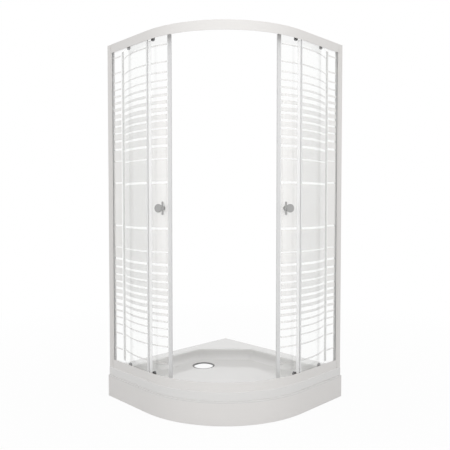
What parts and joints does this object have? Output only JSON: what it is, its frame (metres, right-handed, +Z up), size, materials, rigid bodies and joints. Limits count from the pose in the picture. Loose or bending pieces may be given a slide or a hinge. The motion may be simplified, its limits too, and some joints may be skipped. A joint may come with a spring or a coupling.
{
  "type": "quadrant shower enclosure",
  "caption": "Quarter-round corner shower enclosure with a low tray and apron, bent rails, flat fixed panes and curved sliding doors on rollers.",
  "frame": {"origin": "on the floor, under the middle of the square that the tray's plan fills", "axes": "+Z up; the room's corner is at -X, +Y; the left pane runs along -Y, the right pane along +X, and the round front faces +X, -Y"},
  "size_m": [0.9, 0.9, 1.9],
  "materials": {
    "white_acrylic": "glossy moulded acrylic",
    "frame_paint": "grey powder coat",
    "zinc_steel": "zinc plated",
    "dark_rubber": "matt rubber",
    "clip_plastic": "moulded plastic",
    "white_lacquer": "satin white lacquer on aluminium",
    "striped_glass": "clear toughened glass with a frosted stripe print",
    "clear_seal": "translucent soft plastic",
    "grey_gasket": "soft grey profile",
    "chrome": "polished chrome",
    "roller_plastic": "dark moulded plastic",
    "hanger_metal": "satin chrome"
  },
  "bodies": {
    "enclosure": {"apron_clips": "clip_plastic", "bottom_rail": "white_lacquer", "door_stops": "dark_rubber", "foot_pads": "dark_rubber", "left_fixed_edge_seal": "clear_seal", "left_fixed_glass": "striped_glass", "left_glass_gaskets": "grey_gasket", "left_post_gasket": "grey_gasket", "left_side_profile": "white_lacquer", "left_wall_channel": "white_lacquer", "leg_lock_nuts": "zinc_steel", "leg_studs": "zinc_steel", "rail_brackets": "zinc_steel", "right_fixed_edge_seal": "clear_seal", "right_fixed_glass": "striped_glass", "right_glass_gaskets": "grey_gasket", "right_post_gasket": "grey_gasket", "right_side_profile": "white_lacquer", "right_wall_channel": "white_lacquer", "shower_tray": "white_acrylic", "support_frame": "frame_paint", "top_rail": "white_lacquer", "tray_apron": "white_acrylic"},
    "left_door": {"left_axles": "zinc_steel", "left_door_glass": "striped_glass", "left_hanger_caps": "chrome", "left_hanger_nuts": "zinc_steel", "left_hangers": "hanger_metal", "left_knob": "chrome", "left_knob_cap_nut": "chrome", "left_knob_plate": "chrome", "left_knob_stud": "chrome", "left_magnet_seal": "clear_seal", "left_rear_seal": "clear_seal"},
    "right_door": {"right_axles": "zinc_steel", "right_door_glass": "striped_glass", "right_hanger_caps": "chrome", "right_hanger_nuts": "zinc_steel", "right_hangers": "hanger_metal", "right_knob": "chrome", "right_knob_cap_nut": "chrome", "right_knob_plate": "chrome", "right_knob_stud": "chrome", "right_magnet_seal": "clear_seal", "right_rear_seal": "clear_seal"},
    "left_bottom_front_roller_body": {"left_bottom_front_roller": "roller_plastic"},
    "left_bottom_rear_roller_body": {"left_bottom_rear_roller": "roller_plastic"},
    "left_top_front_roller_body": {"left_top_front_roller": "roller_plastic"},
    "left_top_rear_roller_body": {"left_top_rear_roller": "roller_plastic"},
    "right_bottom_front_roller_body": {"right_bottom_front_roller": "roller_plastic"},
    "right_bottom_rear_roller_body": {"right_bottom_rear_roller": "roller_plastic"},
    "right_top_front_roller_body": {"right_top_front_roller": "roller_plastic"},
    "right_top_rear_roller_body": {"right_top_rear_roller": "roller_plastic"}
  },
  "joints": [
    {"name": "left_door_travel", "type": "hinge", "parent": "enclosure", "child": "left_door", "pos_m": [-0.168, 0.355, 1], "axis": [0, 0, 1], "range_deg": [0, 21.4]},
    {"name": "right_door_travel", "type": "hinge", "parent": "enclosure", "child": "right_door", "pos_m": [-0.355, 0.168, 1], "axis": [0, 0, -1], "range_deg": [0, 21.4]},
    {"name": "left_top_front_roller_spin", "type": "hinge", "parent": "left_door", "child": "left_top_front_roller_body", "pos_m": [-0.09702, -0.41127, 1.8883], "axis": [-0.1959, 0.9806, 0], "continuous": true},
    {"name": "left_top_rear_roller_spin", "type": "hinge", "parent": "left_door", "child": "left_top_rear_roller_body", "pos_m": [-0.30986, -0.40885, 1.8883], "axis": [0.2181, 0.9759, 0], "continuous": true},
    {"name": "left_bottom_front_roller_spin", "type": "hinge", "parent": "left_door", "child": "left_bottom_front_roller_body", "pos_m": [-0.09702, -0.41127, 0.1737], "axis": [0.1959, -0.9806, 0], "continuous": true},
    {"name": "left_bottom_rear_roller_spin", "type": "hinge", "parent": "left_door", "child": "left_bottom_rear_roller_body", "pos_m": [-0.30986, -0.40885, 0.1737], "axis": [-0.2181, -0.9759, 0], "continuous": true},
    {"name": "right_top_front_roller_spin", "type": "hinge", "parent": "right_door", "child": "right_top_front_roller_body", "pos_m": [0.41127, 0.09702, 1.8883], "axis": [0.9806, -0.1959, 0], "continuous": true},
    {"name": "right_top_rear_roller_spin", "type": "hinge", "parent": "right_door", "child": "right_top_rear_roller_body", "pos_m": [0.40885, 0.30986, 1.8883], "axis": [0.9759, 0.2181, 0], "continuous": true},
    {"name": "right_bottom_front_roller_spin", "type": "hinge", "parent": "right_door", "child": "right_bottom_front_roller_body", "pos_m": [0.41127, 0.09702, 0.1737], "axis": [-0.9806, 0.1959, 0], "continuous": true},
    {"name": "right_bottom_rear_roller_spin", "type": "hinge", "parent": "right_door", "child": "right_bottom_rear_roller_body", "pos_m": [0.40885, 0.30986, 0.1737], "axis": [-0.9759, -0.2181, 0], "continuous": true}
  ],
  "couplings": [
    {"joint": "left_top_front_roller_spin", "follows": "left_door_travel", "ratio": 85.036},
    {"joint": "left_top_rear_roller_spin", "follows": "left_door_travel", "ratio": 86.267},
    {"joint": "left_bottom_front_roller_spin", "follows": "left_door_travel", "ratio": 85.036},
    {"joint": "left_bottom_rear_roller_spin", "follows": "left_door_travel", "ratio": 86.267},
    {"joint": "right_top_front_roller_spin", "follows": "right_door_travel", "ratio": 85.036},
    {"joint": "right_top_rear_roller_spin", "follows": "right_door_travel", "ratio": 86.267},
    {"joint": "right_bottom_front_roller_spin", "follows": "right_door_travel", "ratio": 85.036},
    {"joint": "right_bottom_rear_roller_spin", "follows": "right_door_travel", "ratio": 86.267}
  ]
}
